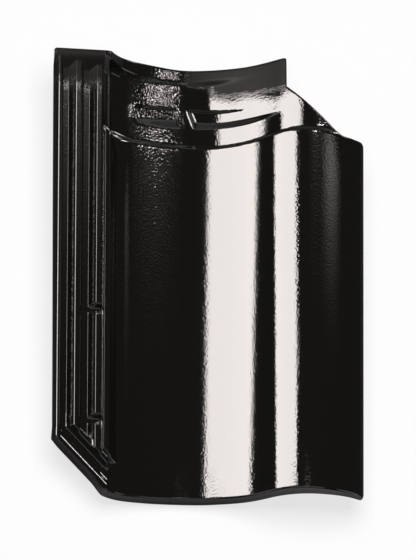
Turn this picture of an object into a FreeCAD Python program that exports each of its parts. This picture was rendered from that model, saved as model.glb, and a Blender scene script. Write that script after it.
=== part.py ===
import FreeCAD, Part
import math
import os
from FreeCAD import Vector

# Glazed interlocking pantile. X runs across from the side lock to the cover flap, Y from foot to head.

# Overall sizes, mm
LENGTH = 400.0
WIDTH = 262.0
RELIEF = 39.5
THICKNESS = 11.0
CORNER_CUT = 45.0

# Side lock: ribs and channels on a wing that falls towards the trough
WING_Z = 20.0
WING_FALL = 0.155
WING_THICKNESS = 9.0
WING_RIB = 4.4
RIB_RISES = (6.0, 6.0, 5.0)
CHANNELS = (14.9, 13.5, 3.0)
RIB_SLOPE = 6.6
RIB_DRAFT = 0.9
RIB_ROUND = 1.2
WING_HEAD_BAR = 10.0
WING_BAR_RISE = 6.0
NOTCHES = (58.6, 160.0)
NOTCH_LENGTH = 6.6

# Body section: lip, flank, trough and roll
LIP_WIDTH = 4.3
FLANK_RUN = 27.5
FLANK_R = 35.0
FLANK_RISE = 4.0
FLOOR_RUN = 34.0
TURN_R = 52.0
ROLL_R = 63.4
FLAP_REACH = 46.5
FLAP_EDGE = 4.8
CREST_EXTRA = 0.5

# Head section, sunk below the body so that the next tile can lap over it
HEAD_SINK = 3.5
HEAD_ROLL_SINK = 5.0
HEAD_FLAP_SINK = 2.0
HEAD_CREST_BACK = 1.0
HEAD_LIP_WIDTH = 1.0
HEAD_FLANK_RUN = 32.0
HEAD_FLANK_R = 42.0
HEAD_FLANK_RISE = 0.6
HEAD_FALL = 2.7

# Runs along the head lock, from the head edge back to the shoulder
RIM_LENGTH = 9.0
RIM_RUN = 4.0
RIM_RISE = 1.2
RIM_FLANK_RUN = 35.0
RIM_FLANK_R = 40.0
HEAD_PAN = 22.0
RIB_BACK_RUN = 4.0
RIB_TOP = 10.0
RIB_FRONT_RUN = 4.5
RIB_RISE = 4.2
LAP_PAN = 14.5
SHOULDER_RUN = 6.0
GAP_OFFSET = 6.0
GAP_FLOOR = 8.0
GAP_TOP = 13.5
GAP_SKEW = 6.5
GAP_DEPTH = 8.0

# Diagonal foot of the side lock, measured square to the cut corner
FOOT_RIM = 6.5
FOOT_RIM_RISE = 4.5
FOOT_DRAIN = 12.0
FOOT_RIB = 4.5
FOOT_RIB_RISE = 4.0
DRAIN_REACH = 14.0

# Head outline and cover flap
HEAD_SHORT = 66.0
HEAD_SIDE = 25.4
FLAP_PAST = 3.0
FLAP_CORNER_R = 3.5
CORNER_R = 2.5
COVER_SIDE_CLEAR = 0.6
COVER_CLEAR = 2.0
COVER_RIB = 5.0
COVER_RIB_DEPTH = 9.0
COVER_RIB_INSET = 14.0

# Foot nose and the bar behind it
NOSE_DROP = 2.0
NOSE_LENGTH = 8.0
NOSE_RUN = 3.0
FOOT_BAR_GAP = 28.0
FOOT_BAR = 13.0

# Hanging nibs beneath the head
NIB_OUT = (-35.0, 49.0)
NIB_WIDTH = 30.0
NIB_BACK = 46.0
NIB_THICK = 18.0
NIB_TAPER = 3.0
NIB_DROP = 14.0
HOOK_HEIGHT = 10.0
HOOK_FLARE = 0.35

# Places that follow from the sizes
RIBS = []
channel_mids = []
reached = 0.0
for channel, rise in zip(CHANNELS, RIB_RISES):
    RIBS.append((reached, reached + WING_RIB, rise))
    channel_mids.append(reached + WING_RIB + (channel + RIB_DRAFT - RIB_SLOPE) / 2)
    reached += WING_RIB + channel
LIP_X = reached
HEAD_LIP_X = RIBS[-1][1]
FLANK_X = LIP_X + LIP_WIDTH + FLANK_RUN
TROUGH_X = FLANK_X + FLOOR_RUN
CREST_X = WIDTH - FLAP_REACH
FLANK_Z = FLANK_R + FLANK_RISE
FLAP_Z = RELIEF - ROLL_R + math.sqrt(ROLL_R ** 2 - FLAP_REACH ** 2)
BODY_TROUGH_R = ((CREST_X - TROUGH_X) ** 2 + RELIEF ** 2) / (2 * RELIEF) - TURN_R
RIM_Y = LENGTH - RIM_LENGTH - RIM_RUN
RIB_END_Y = RIM_Y - HEAD_PAN
RIB_TOP_END_Y = RIB_END_Y - RIB_BACK_RUN
RIB_TOP_Y = RIB_TOP_END_Y - RIB_TOP
RIB_Y = RIB_TOP_Y - RIB_FRONT_RUN
HEAD_Y = RIB_Y - LAP_PAN
SHOULDER_Y = HEAD_Y - SHOULDER_RUN
NIB_Y = LENGTH - NIB_BACK
FAR = WIDTH


def arc_to(cx, cz, r, a0, a1, y):
    """Arc about (cx, cz) between two angles measured from +X towards +Z."""
    def on(a):
        return Vector(cx + r * math.cos(a), y, cz + r * math.sin(a))
    return Part.Arc(on(a0), on((a0 + a1) / 2), on(a1)).toShape()


def line(p, q):
    return Part.makeLine(p, q)


# Top surface at one station, given the trough level, roll and flank
def top_edges(y, pan, crest_x, crest, roll_r, lip_x, lip_width, fx, fz, fr):
    rise = crest - pan
    across = crest_x - TROUGH_X
    turn_r = roll_r * TURN_R / ROLL_R
    trough_r = (across ** 2 + rise ** 2) / (2 * rise) - turn_r
    bend = math.asin(across / (trough_r + turn_r))
    k = pan - fz
    floor_r = (fr ** 2 - (TROUGH_X - fx) ** 2 - k ** 2) / (2 * (k + fr))
    lean = math.asin((TROUGH_X - fx) / (floor_r - fr))
    lip_end = lip_x + lip_width
    steep = math.asin((fx - lip_end) / fr)
    lip_z = fz - fr * math.cos(steep)
    down = -math.pi / 2
    edge_a = math.acos((WIDTH - crest_x) / roll_r)
    flank = arc_to(fx, fz, fr, down - steep, down - lean, y)
    floor = arc_to(TROUGH_X, pan + floor_r, floor_r, down - lean, down, y)
    trough = arc_to(TROUGH_X, pan + trough_r, trough_r, down, down + bend, y)
    turn = arc_to(crest_x, crest - turn_r, turn_r, math.pi / 2 + bend, math.pi / 2, y)
    roll = arc_to(crest_x, crest - roll_r, roll_r, math.pi / 2, edge_a, y)
    lip = line(Vector(lip_x, y, lip_z), Vector(lip_end, y, lip_z))
    return [lip, flank, floor, trough, turn, roll]


# Hollow of the roll: touches the trough's underside and leaves the flap its edge thickness
def roll_hollow():
    small = FLAP_REACH
    large = 4 * ROLL_R
    crest = RELIEF - THICKNESS - CREST_EXTRA
    for _ in range(60):
        r = (small + large) / 2
        z = crest - r
        x = TROUGH_X + math.sqrt((BODY_TROUGH_R + THICKNESS + r) ** 2 - (BODY_TROUGH_R - z) ** 2)
        edge = z + math.sqrt(r ** 2 - (WIDTH - x) ** 2)
        if edge < FLAP_Z - FLAP_EDGE:
            small = r
        else:
            large = r
    return x, z, r


# Underside shared by every station, lowered by a drop at the foot ribs
def under_edges(y, drop, left_x):
    base = THICKNESS + drop
    ux, uz, ur = roll_hollow()
    bend = math.asin((ux - TROUGH_X) / (BODY_TROUGH_R + THICKNESS + ur))
    floor_r = (FLANK_Z ** 2 + FLOOR_RUN ** 2 - FLANK_R ** 2) / (2 * FLANK_RISE)
    lean = math.asin(FLOOR_RUN / (floor_r - FLANK_R))
    steep = math.asin((FLANK_X - left_x) / (FLANK_R + base))
    down = -math.pi / 2
    edge_a = math.acos((WIDTH - ux) / (ur - drop))
    return [
        arc_to(ux, uz, ur - drop, edge_a, math.pi / 2 + bend, y),
        arc_to(TROUGH_X, BODY_TROUGH_R, BODY_TROUGH_R + base, down + bend, down, y),
        arc_to(TROUGH_X, floor_r, floor_r + base, down, down - lean, y),
        arc_to(FLANK_X, FLANK_Z, FLANK_R + base, down - lean, down - steep, y),
    ]


def ends(edge):
    return edge.firstVertex(True).Point, edge.lastVertex(True).Point


# Closed outline of the tile across one station
def station(y, top, drop=0.0):
    upper = top_edges(y, *top)
    lower = under_edges(y, drop, top[4])
    right = line(ends(upper[-1])[1], ends(lower[0])[0])
    left = line(ends(lower[-1])[1], ends(upper[0])[0])
    return Part.Wire(upper + [right] + lower + [left])


BODY = (0.0, CREST_X, RELIEF, ROLL_R, LIP_X, LIP_WIDTH, FLANK_X, FLANK_Z, FLANK_R)


# How far the head has fallen away at a station
def fallen(y):
    return HEAD_FALL * (y - RIB_END_Y) / (LENGTH - RIB_END_Y)


# Head section with its trough raised by a rib or not at all
def head(raised, fall=0.0):
    top = RELIEF - HEAD_ROLL_SINK
    drop = top - FLAP_Z + HEAD_FLAP_SINK
    roll_r = ((FLAP_REACH + HEAD_CREST_BACK) ** 2 + drop ** 2) / (2 * drop)
    flank_x = HEAD_LIP_X + HEAD_LIP_WIDTH + HEAD_FLANK_RUN
    flank_z = HEAD_FLANK_R + RIB_RISE - HEAD_SINK + HEAD_FLANK_RISE
    roll = (CREST_X - HEAD_CREST_BACK, top - fall, roll_r)
    return (raised - HEAD_SINK - fall,) + roll + (HEAD_LIP_X, HEAD_LIP_WIDTH, flank_x, flank_z, HEAD_FLANK_R)


# Rim at the head edge: raised a little, with a higher flank beside the body's lip
def rim(y):
    flank_x = LIP_X + LIP_WIDTH + RIM_FLANK_RUN
    return head(RIM_RISE, fallen(y))[:4] + (LIP_X, LIP_WIDTH, flank_x, RIM_FLANK_R + FLANK_RISE, RIM_FLANK_R)


# Body and head drawn as straight runs between stations
bar_y = NOSE_LENGTH + NOSE_RUN + FOOT_BAR_GAP
STATIONS = (
    (0.0, BODY, NOSE_DROP),
    (NOSE_LENGTH, BODY, NOSE_DROP),
    (NOSE_LENGTH + NOSE_RUN, BODY, 0.0),
    (bar_y, BODY, 0.0),
    (bar_y + NOSE_RUN, BODY, NOSE_DROP),
    (bar_y + NOSE_RUN + FOOT_BAR, BODY, NOSE_DROP),
    (bar_y + 2 * NOSE_RUN + FOOT_BAR, BODY, 0.0),
    (SHOULDER_Y, BODY, 0.0),
    (HEAD_Y, head(0.0), 0.0),
    (RIB_Y, head(0.0), 0.0),
    (RIB_TOP_Y, head(RIB_RISE), 0.0),
    (RIB_TOP_END_Y, head(RIB_RISE), 0.0),
    (RIB_END_Y, head(0.0), 0.0),
    (RIM_Y, head(0.0, fallen(RIM_Y)), 0.0),
    (RIM_Y + RIM_RUN, rim(RIM_Y + RIM_RUN), 0.0),
    (LENGTH, rim(LENGTH), 0.0),
)
tile = Part.makeLoft([station(*s) for s in STATIONS], True, True)


# Closed outline with rounded corners; each point carries its own radius
def rounded(points, to_vector):
    n = len(points)
    edges = []
    tangents = []
    for i in range(n):
        x, z, r = points[i]
        px, pz, _ = points[i - 1]
        qx, qz, _ = points[(i + 1) % n]
        a = Vector(px - x, pz - z, 0).normalize()
        b = Vector(qx - x, qz - z, 0).normalize()
        half = a.getAngle(b) / 2
        here = Vector(x, z, 0)
        reach = r / math.tan(half) if r else 0.0
        mid = here + (a + b).normalize() * (r / math.sin(half) - r) if r else here
        tangents.append((here + a * reach, mid, here + b * reach, r))
    for i in range(n):
        p, m, q, r = tangents[i]
        nxt = tangents[(i + 1) % n][0]
        if r:
            edges.append(Part.Arc(to_vector(p), to_vector(m), to_vector(q)).toShape())
        edges.append(line(to_vector(q), to_vector(nxt)))
    return Part.Face(Part.Wire(edges))


def across_at(y):
    return lambda p: Vector(p.x, y, p.y)


def along_at(x):
    return lambda p: Vector(x, p.x, p.y)


def plan_at(z):
    return lambda p: Vector(p.x, p.y, z)


def wing_floor(x):
    return WING_Z - WING_FALL * x


# Side-lock wing with its ribs
outline = [(0.0, wing_floor(0.0) - WING_THICKNESS, 1.5)]
for x0, x1, rise in RIBS:
    if x0:
        outline.append((x0 - RIB_SLOPE, wing_floor(x0 - RIB_SLOPE), RIB_ROUND))
    outline.append((x0, wing_floor(x0) + rise, RIB_ROUND))
    outline.append((x1, wing_floor(x1) + rise, RIB_ROUND))
    outline.append((x1 + RIB_DRAFT, wing_floor(x1), RIB_ROUND * 0.7))
outline.append((LIP_X + 2.0, wing_floor(LIP_X + 2.0), 0.0))
outline.append((LIP_X + 2.0, wing_floor(LIP_X + 2.0) - WING_THICKNESS, 0.0))
wing = rounded(outline, across_at(0.0)).extrude(Vector(0, LENGTH, 0))
tile = tile.fuse(wing)


# Space above the wing floor, raised by some height, between two X limits
def above_wing(x0, x1, y0, y1, lift, top=FAR):
    pts = [(x0, wing_floor(x0) + lift, 0), (x1, wing_floor(x1) + lift, 0), (x1, top, 0), (x0, top, 0)]
    return rounded(pts, across_at(y0)).extrude(Vector(0, y1 - y0, 0))


# Strip parallel to the cut foot corner, between two distances from the cut
def corner_strip(s0, s1, x0, x1):
    near = CORNER_CUT + s0 * math.sqrt(2)
    far = CORNER_CUT + s1 * math.sqrt(2)
    pts = [(x0, near - x0, 0), (x1, near - x1, 0), (x1, far - x1, 0), (x0, far - x0, 0)]
    return rounded(pts, plan_at(-FAR)).extrude(Vector(0, 0, 2 * FAR))


# Slab that follows the wing floor between two heights
def wing_slab(x0, x1, y0, y1, low, high):
    return above_wing(x0, x1, y0, y1, low).cut(above_wing(x0 - 1, x1 + 1, y0 - 1, y1 + 1, high))


# Diagonal drain at the wing's foot, with its rim and closing rib
wing_in = RIBS[0][1]
wing_out = LIP_X + DRAIN_REACH
reach = CORNER_CUT * 3
rib_from = FOOT_RIM + FOOT_DRAIN
rib_to = rib_from + FOOT_RIB
rim_out = LIP_X + LIP_WIDTH
sunk = WING_THICKNESS / 2
drain = above_wing(wing_in, wing_out, -reach, reach, 0.0)
tile = tile.cut(drain.common(corner_strip(-FOOT_RIM, rib_to, wing_in, wing_out)))
foot_rim = wing_slab(0.0, rim_out, -reach, reach, -sunk, FOOT_RIM_RISE)
tile = tile.fuse(foot_rim.common(corner_strip(-1.0, FOOT_RIM, 0.0, rim_out)))
foot_rib = wing_slab(RIBS[1][0], rim_out, -reach, reach, -sunk, FOOT_RIB_RISE)
tile = tile.fuse(foot_rib.common(corner_strip(rib_from, rib_to, RIBS[1][0], rim_out)))

# Bar that closes the channels at the head, and the notches in the inner rib
bar_from = LENGTH - WING_HEAD_BAR
bar_top = WING_Z + WING_BAR_RISE
tile = tile.fuse(above_wing(0.0, LIP_X + LIP_WIDTH / 2, bar_from, LENGTH, -sunk, bar_top))
for y in NOTCHES:
    x0, x1, rise = RIBS[-1]
    tile = tile.cut(above_wing(x0 - 1, x1 + 1, y, y + NOTCH_LENGTH, rise / 3))


# Slanted drain gap through the cross rib, wider at its top
def gap_wire(z, width):
    h = width / 2
    y0 = RIB_Y - 1.0
    y1 = RIB_END_Y + 1.0
    xs = TROUGH_X + GAP_OFFSET
    pts = [(xs - h, y0), (xs + h, y0), (xs + h - GAP_SKEW, y1), (xs - h - GAP_SKEW, y1)]
    vs = [Vector(x, y, z) for x, y in pts]
    return Part.makePolygon(vs + [vs[0]])


gap_z = -HEAD_SINK + 0.25
tile = tile.cut(Part.makeLoft([gap_wire(gap_z, GAP_FLOOR), gap_wire(gap_z + GAP_DEPTH, GAP_TOP)], True, True))

# Ribs beneath the cover flap that drop into the neighbour's first two channels
cover_width = WIDTH - LIP_X + COVER_SIDE_CLEAR
for mid in channel_mids[:2]:
    x = cover_width + mid
    z = wing_floor(mid) + COVER_CLEAR
    low = COVER_RIB / 2
    high = low + COVER_RIB_DEPTH / 6
    top = z + COVER_RIB_DEPTH
    pts = [(x - low, z, RIB_ROUND), (x + low, z, RIB_ROUND), (x + high, top, 0), (x - high, top, 0)]
    run = SHOULDER_Y - 2 * COVER_RIB_INSET
    tile = tile.fuse(rounded(pts, across_at(COVER_RIB_INSET)).extrude(Vector(0, run, 0)))

# Outline seen from above: cut corners, short head and rounded flap
head_right = WIDTH - HEAD_SHORT
head_turn = LENGTH - HEAD_SIDE
flap_end = SHOULDER_Y + FLAP_PAST
plan = [
    (0.0, CORNER_CUT, CORNER_R),
    (CORNER_CUT, 0.0, CORNER_R),
    (WIDTH, 0.0, CORNER_R),
    (WIDTH, flap_end, FLAP_CORNER_R),
    (head_right + head_turn - flap_end, flap_end, CORNER_R),
    (head_right, head_turn, CORNER_R),
    (head_right, LENGTH, CORNER_R),
    (0.0, LENGTH, CORNER_R),
]
tile = tile.common(rounded(plan, plan_at(-FAR)).extrude(Vector(0, 0, 2 * FAR)))

# The tile rests on its nose and its nibs, so it leans a little towards the foot
nose_z = -THICKNESS - NOSE_DROP
nib_z = -THICKNESS - NIB_DROP
lean = math.degrees(math.atan2(nose_z - nib_z, NIB_Y))
pivot = Vector(0, 0, nose_z)


# Room beneath the middle of the tile's thickness, where the nibs may grow
def under_room():
    edges = under_edges(NIB_Y - NIB_BACK, -THICKNESS / 2, HEAD_LIP_X)
    first = ends(edges[0])[0]
    last = ends(edges[-1])[1]
    a = Vector(last.x, last.y, -FAR)
    b = Vector(first.x, first.y, -FAR)
    wire = Part.Wire(edges + [line(last, a), line(a, b), line(b, first)])
    return Part.Face(wire).extrude(Vector(0, 2 * NIB_BACK, 0))


tile.rotate(pivot, Vector(1, 0, 0), lean)
tile.translate(Vector(0, 0, -nose_z))
room = under_room()
room.rotate(pivot, Vector(1, 0, 0), lean)
room.translate(Vector(0, 0, -nose_z))


# One nib: upright hook face towards the foot, flaring above, tapering down on its other sides
def nib(x):
    spread = NIB_TAPER * FAR / NIB_DROP
    low = NIB_WIDTH / 2 - NIB_TAPER
    high = low + spread
    outline = [(x - low, 0, 0), (x + low, 0, 0), (x + high, FAR, 0), (x - high, FAR, 0)]
    front = rounded(outline, across_at(0.0))
    back = NIB_Y + NIB_THICK - NIB_TAPER
    flare = NIB_Y - HOOK_FLARE * (FAR - HOOK_HEIGHT)
    outline = [(NIB_Y, 0, 0), (back, 0, 0), (back + spread, FAR, 0), (flare, FAR, 0), (NIB_Y, HOOK_HEIGHT, 0)]
    side = rounded(outline, along_at(x - FAR))
    block = front.extrude(Vector(0, 2 * LENGTH, 0)).common(side.extrude(Vector(2 * FAR, 0, 0)))
    return block.common(room)


for out in NIB_OUT:
    tile = tile.fuse(nib(TROUGH_X + out))
tile = tile.removeSplitter()
if len(tile.Solids) == 1:
    tile = tile.Solids[0]

# Origin at the middle of the footprint, on the floor
box = tile.optimalBoundingBox(False)
tile.translate(Vector(-box.Center.x, -box.Center.y, -box.ZMin))

os.makedirs("parts", exist_ok=True)
tile.exportStep("parts/pantile.step")
print("solids", len(tile.Solids), "valid", tile.isValid(), "volume", round(tile.Volume))
print("box", tile.optimalBoundingBox(False), "lean", round(lean, 4))
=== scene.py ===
import math
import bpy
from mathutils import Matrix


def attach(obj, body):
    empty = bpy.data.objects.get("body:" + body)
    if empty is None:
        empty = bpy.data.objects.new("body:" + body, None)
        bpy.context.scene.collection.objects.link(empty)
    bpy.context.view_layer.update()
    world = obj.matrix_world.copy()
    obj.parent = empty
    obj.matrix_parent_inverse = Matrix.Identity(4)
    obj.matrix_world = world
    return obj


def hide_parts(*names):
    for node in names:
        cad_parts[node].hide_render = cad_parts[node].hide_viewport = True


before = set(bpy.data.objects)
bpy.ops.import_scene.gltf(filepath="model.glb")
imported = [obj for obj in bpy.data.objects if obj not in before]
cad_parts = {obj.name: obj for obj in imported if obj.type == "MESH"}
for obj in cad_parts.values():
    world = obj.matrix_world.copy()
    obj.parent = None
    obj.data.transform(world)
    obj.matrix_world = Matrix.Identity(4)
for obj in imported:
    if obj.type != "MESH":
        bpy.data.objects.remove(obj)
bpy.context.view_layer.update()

from types import SimpleNamespace

import bpy
import numpy as np
from bpy.props import FloatProperty, FloatVectorProperty, IntProperty, PointerProperty
from bpy.types import Operator, Panel, PropertyGroup
from mathutils import Matrix, Vector

bl_info = {
    "name": "Glazed interlocking pantile",
    "version": (1, 0, 0),
    "blender": (4, 5, 0),
    "location": "3D View > Sidebar > Pantile",
    "description": "Builds a black-glazed interlocking clay pantile, its ribs and nibs, and a studio for it",
    "category": "Object",
}

MM = 1000.0
# Points whose distances are measured at one time
CHUNK = 2000


# ---------------------------------------------------------------- properties

def number(name, value, text, **more):
    return FloatProperty(name=name, description=text, default=value, **more)


def length(name, mm, text):
    """A length in metres, given in millimetres here."""
    return number(name, mm / MM, text, min=0.0, unit="LENGTH", precision=4)


def factor(name, value, text):
    return number(name, value, text, min=0.0, max=1.0, subtype="FACTOR")


def angle(name, degrees, text):
    return number(name, math.radians(degrees), text, subtype="ANGLE")


def colour(name, rgb, text):
    return FloatVectorProperty(name=name, description=text, default=rgb, min=0.0, max=1.0, subtype="COLOR")


class PantileBody(PropertyGroup):
    """Section and outline of the tile."""
    long: length("Length", 400.0, "Foot to head, along the tile")
    wide: length("Width", 262.0, "Side lock to cover flap")
    relief: length("Relief", 39.5, "Crest of the roll above the trough")
    thick: length("Thickness", 11.0, "Wall of trough and roll")
    corner_cut: length("Corner cut", 45.0, "Leg of the cut foot corner")
    lip_wide: length("Lip width", 4.3, "Flat lip between side lock and trough")
    flank_run: length("Flank run", 27.5, "From the lip to the axis of the flank arc")
    flank_r: length("Flank radius", 35.0, "Arc from the lip into the trough")
    flank_rise: length("Flank rise", 4.0, "Low point of the flank arc above the trough")
    floor_run: length("Floor run", 34.0, "From the flank axis to the low line of the trough")
    roll_r: length("Roll radius", 63.4, "Arc of the roll from its crest to the flap")
    turn_r: length("Turn radius", 52.0, "Arc of the roll from the trough to its crest")
    flap_reach: length("Flap reach", 46.5, "From the crest to the edge of the flap")
    flap_edge: length("Flap edge", 4.8, "Thickness of the flap at its edge")
    crest_extra: length("Crest extra", 0.5, "Added wall at the crest")
    head_short: length("Short head", 66.0, "How far the head stops short of the flap edge")
    head_side: length("Head side", 25.4, "Straight side of the head above the diagonal")
    flap_end: length("Flap end", 329.0, "Upper end of the flap, from the foot")
    edge_round: length("Edge rounding", 1.7, "Rounding of the glazed edges")
    draft: length("Draft", 2.4, "Inward lean of the side wall along the side lock")
    nose_drop: length("Nose drop", 2.0, "Depth of the nose and of the bar behind it")


class PantileSideLock(PropertyGroup):
    """Ribs and channels of the side lock."""
    height: length("Height", 20.0, "Channel floor at the outer edge, above the trough")
    fall: number("Fall", 0.155, "Fall of the channel floors towards the trough")
    thick: length("Thickness", 9.0, "Wall under the channels")
    rib: length("Rib width", 4.4, "Width of each rib at its top")
    rib_rise: length("Rib rise", 6.0, "Height of the two outer ribs")
    inner_rise: length("Inner rib rise", 6.0, "Height of the inner rib")
    outer: length("Outer slope", 4.3, "Outer slope of the first rib")
    channel_a: length("Outer channel", 14.9, "Between the first and second rib")
    channel_b: length("Middle channel", 13.5, "Between the second and third rib")
    channel_c: length("Inner channel", 3.0, "Between the third rib and the lip")
    rib_slope: length("Rib slope", 6.2, "Run of the ribs' outer sides")
    draft: length("Draft", 0.9, "Run of the ribs' inner sides")
    bar: length("Head bar", 10.0, "Bar that closes the channels at the head")
    bar_rise: length("Head bar rise", 6.0, "Height of that bar")
    notch_low: length("Lower notch", 58.6, "Foot to the lower notch in the inner rib")
    notch_high: length("Upper notch", 160.0, "Foot to the upper notch in the inner rib")
    notch: length("Notch length", 6.6, "Length of each notch")
    foot_rim: length("Foot rim", 6.5, "Rim along the cut corner")
    foot_rim_rise: length("Foot rim rise", 4.5, "Height of that rim")
    drain: length("Drain", 12.0, "Diagonal drain behind the rim")
    foot_rib: length("Closing rib", 4.5, "Rib that closes the channels at the foot")
    foot_rib_rise: length("Closing rib rise", 4.0, "Height of that rib")


class PantileHeadLock(PropertyGroup):
    """Sunk head, cross rib and rim."""
    sink: length("Sink", 3.5, "Head pan below the trough")
    roll_sink: length("Roll sink", 5.0, "Head roll below the crest")
    flap_sink: length("Flap sink", 2.0, "Head roll below the flap edge")
    crest_back: length("Crest shift", 1.0, "Crest of the head roll, towards the trough")
    lip_wide: length("Lip width", 1.0, "Lip in the head")
    flank_run: length("Flank run", 32.0, "From the lip to the axis of the flank arc")
    flank_r: length("Flank radius", 42.0, "Arc of the flank in the head")
    flank_rise: length("Flank rise", 0.6, "Low point of the flank arc above the cross rib")
    hip_sink: length("Hip sink", 4.4, "Crest of the hip beside the cross rib, below the body's crest")
    hip_rise: length("Hip rise", 5.9, "Foot of the hip above the head pan")
    hip_out: length("Hip shift", 1.5, "Crest of the hip, away from the trough")
    rim_left: length("Rim lift", 8.0, "Rise of the rim towards the side lock")
    fall_from: length("Fall start", 361.0, "Foot to where the head starts to fall away")
    fall: number("Fall", 0.09, "Slope of the head as it falls away")
    bow: number("Bow", 0.17, "Head lines run towards the head as the section rises")
    shoulder: length("Shoulder", 326.0, "Foot to the start of the shoulder")
    shoulder_run: length("Shoulder run", 6.0, "Slope of the shoulder")
    rib: length("Cross rib", 346.5, "Foot to the start of the cross rib")
    rib_front: length("Rib front", 4.5, "Front slope of the cross rib")
    rib_top: length("Rib top", 10.0, "Flat top of the cross rib")
    rib_back: length("Rib back", 4.0, "Back slope of the cross rib")
    rib_rise: length("Rib rise", 4.2, "Height of the cross rib")
    rim: length("Rim", 387.0, "Foot to the start of the rim")
    rim_run: length("Rim run", 4.0, "Slope up to the rim")
    rim_rise: length("Rim rise", 1.2, "Height of the rim")
    gap_out: length("Gap place", 6.0, "Drain gap, from the low line of the trough")
    gap_floor: length("Gap floor", 8.0, "Width of the gap's floor")
    gap_skew: length("Gap skew", 6.5, "Sideways run of the slanted gap")


class PantileUnderside(PropertyGroup):
    """Cover ribs and hanging nibs."""
    rib: length("Cover rib", 5.0, "Width of a cover rib at its foot")
    rib_deep: length("Cover rib depth", 9.0, "Depth of a cover rib")
    rib_inset: length("Cover rib inset", 14.0, "Cover ribs start this far from the foot")
    rib_clear: length("Cover clearance", 2.0, "Room between a cover rib and the channel below it")
    side_clear: length("Side clearance", 0.6, "Room between the flap and the next tile's trough")
    nib_back: length("Nib place", 46.0, "Hook face of the nibs, from the head edge")
    nib_wide: length("Nib width", 24.0, "Width of a nib at its bottom")
    nib_thick: length("Nib thickness", 15.0, "Thickness of a nib at its bottom")
    nib_drop: length("Nib drop", 14.0, "Nibs below the trough's underside")
    nib_flare: number("Nib flare", 0.214, "Spread of a nib's sides per height")
    nib_count: IntProperty(name="Nibs", description="Number of hanging nibs", default=2, min=1)
    nib_apart: length("Nib spacing", 84.0, "Between the nibs")
    nib_first: length("First nib", 35.0, "First nib, from the low line towards the side lock")


class PantileGlaze(PropertyGroup):
    """Colours and surface of the glaze."""
    black: colour("Glaze", (0.0050, 0.0046, 0.0041), "Colour of the black glaze")
    dry: colour("Dry glaze", (0.011, 0.0103, 0.0092), "Colour where the glaze is thin and dry")
    gloss: factor("Roughness", 0.06, "Roughness of the full glaze")
    dull: factor("Dry roughness", 0.42, "Roughness of the dry glaze")
    sheen: factor("Dry sheen", 0.07, "Reflection of the dry glaze")
    peel: factor("Orange peel", 0.12, "Strength of the fine ripple in the glaze")
    peel_size: length("Peel size", 1.7, "Spacing of the fine ripple")


class PantileStudio(PropertyGroup):
    """Camera, floor and lights."""
    aim: FloatVectorProperty(name="Aim", description="Point that the camera looks at", subtype="XYZ",
                             unit="LENGTH", default=(0.00068, -0.00265, 0.033577))
    azimuth: angle("Azimuth", -13.205, "Camera to the right of the foot")
    elevation: angle("Elevation", 61.937, "Camera above the horizon")
    roll: angle("Roll", -14.853, "Turn of the camera about its axis")
    distance: number("Distance", 14.0, "Camera to the aim", unit="LENGTH")
    lens: number("Lens", 1079.23, "Focal length in millimetres")
    floor: colour("Floor", (0.9, 0.9, 0.9), "Colour of the floor")
    mirrored: colour("Mirrored floor", (0.12, 0.12, 0.12), "Colour of the floor as the glaze mirrors it")
    room: number("Room", 0.05, "Brightness of the room around", min=0.0)


GROUPS = {
    "pantile_body": PantileBody,
    "pantile_side": PantileSideLock,
    "pantile_head": PantileHeadLock,
    "pantile_under": PantileUnderside,
    "pantile_glaze": PantileGlaze,
    "pantile_studio": PantileStudio,
}


# ---------------------------------------------------------------- shape of the tile

def soft_min(a, b, k):
    """Lower of two heights, with a rounded meeting line of about size k."""
    h = np.clip(0.5 + 0.5 * (b - a) / k, 0.0, 1.0)
    return b + (a - b) * h - k * h * (1.0 - h)


def soft_max(a, b, k):
    return -soft_min(-a, -b, k)


def ramp(v, start, end, ease=0.3):
    """0 before start and 1 after end, straight between with rounded ends."""
    t = (v - start) / (end - start)
    return soft_max(soft_min(t, 1.0, ease), 0.0, ease)


def hump(v, up, down):
    """Rises over one span and falls back over the next."""
    return ramp(v, *up) * (1.0 - ramp(v, *down))


def root(v):
    return np.sqrt(np.maximum(v, 0.0))


def dish(x, mid_x, mid_z, r):
    """Lower half of a circle in the section."""
    return mid_z - root(r ** 2 - (x - mid_x) ** 2)


def part(v, start, run):
    """0 up to start and 1 from start + run, straight between."""
    return np.clip((v - start) / run, 0.0, 1.0)


# Spans across the tile, from its outer edge, where the forms of the head pass into each other
HIP_SHIFT = (150.0, 190.0)
HIP_BLEND = (140.0, 185.0)
RIB_MERGE = (137.0, 158.0)
RIM_BLEND = (118.0, 165.0)
FALL_BLEND = (62.0, 112.0)
# Sideways shifts of the cross rib and of the head pan, right of the trough
RIB_OUT = 6.0
LAP_OUT = 6.5
# Height of the section at which the bowed head lines keep their stated places
BOW_LEVEL = 12.0
# Lift of the rim beside the lip
RIM_LIFT_FROM = 2.4
RIM_LIFT_RUN = 26.0
RIM_LIFT_POWER = 1.7
# Runs of the drain gap's left and right side, and length of the bend where the head starts to fall
GAP_SIDES = (5.0, 2.4)
FALL_BEND = 16.0
# Slopes of the lip's wall, of the flank's end at the cut corner and of the ribs' inner sides
WALL_SLOPE = 5.0
CUT_SLOPE = 2.5
RIB_SIDE = 4.0
# Half an end of a notch, its depth as a share of the rib, and the rounding of the three ribs' crests
NOTCH_EDGE = 0.8
NOTCH_DEPTH = 0.9
CREST_ROUND = (0.5, 0.34, 0.22)
# The head bar's slope starts this far under the channel floor
BAR_SINK = 3.0
# Spans along the underside: end of the nose, start and end of the bar behind it
NOSE_END = (8.0, 11.0)
FOOT_BAR = (39.0, 42.0), (55.0, 58.0)
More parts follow.
